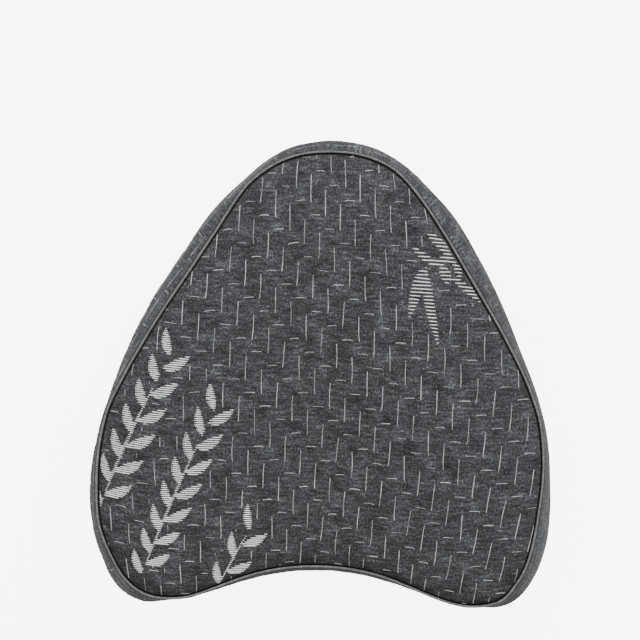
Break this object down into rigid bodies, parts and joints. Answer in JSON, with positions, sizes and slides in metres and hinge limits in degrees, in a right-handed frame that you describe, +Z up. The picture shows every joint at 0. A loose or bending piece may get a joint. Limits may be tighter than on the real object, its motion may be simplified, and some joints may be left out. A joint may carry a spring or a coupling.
{
  "type": "leg pillow",
  "caption": "Heart-shaped wedge leg pillow, lying on its back: a knit cover with front and back panels, a boxing strip and corded piping, troughed down the middle for a leg.",
  "frame": {"origin": "middle of the footprint, on the surface that the pillow's back lies on", "axes": "+X across the pillow, +Y towards its rounded tip, +Z up, out of the front face's side"},
  "size_m": [0.2546, 0.2574, 0.106],
  "materials": {
    "cover_knit": "charcoal heathered jersey knit with light yarn floats",
    "piping_knit": "plain grey knit over a cord"
  },
  "bodies": {
    "root": {"pillow": "cover_knit", "front_piping": "piping_knit", "back_piping": "piping_knit"}
  },
  "joints": []
}
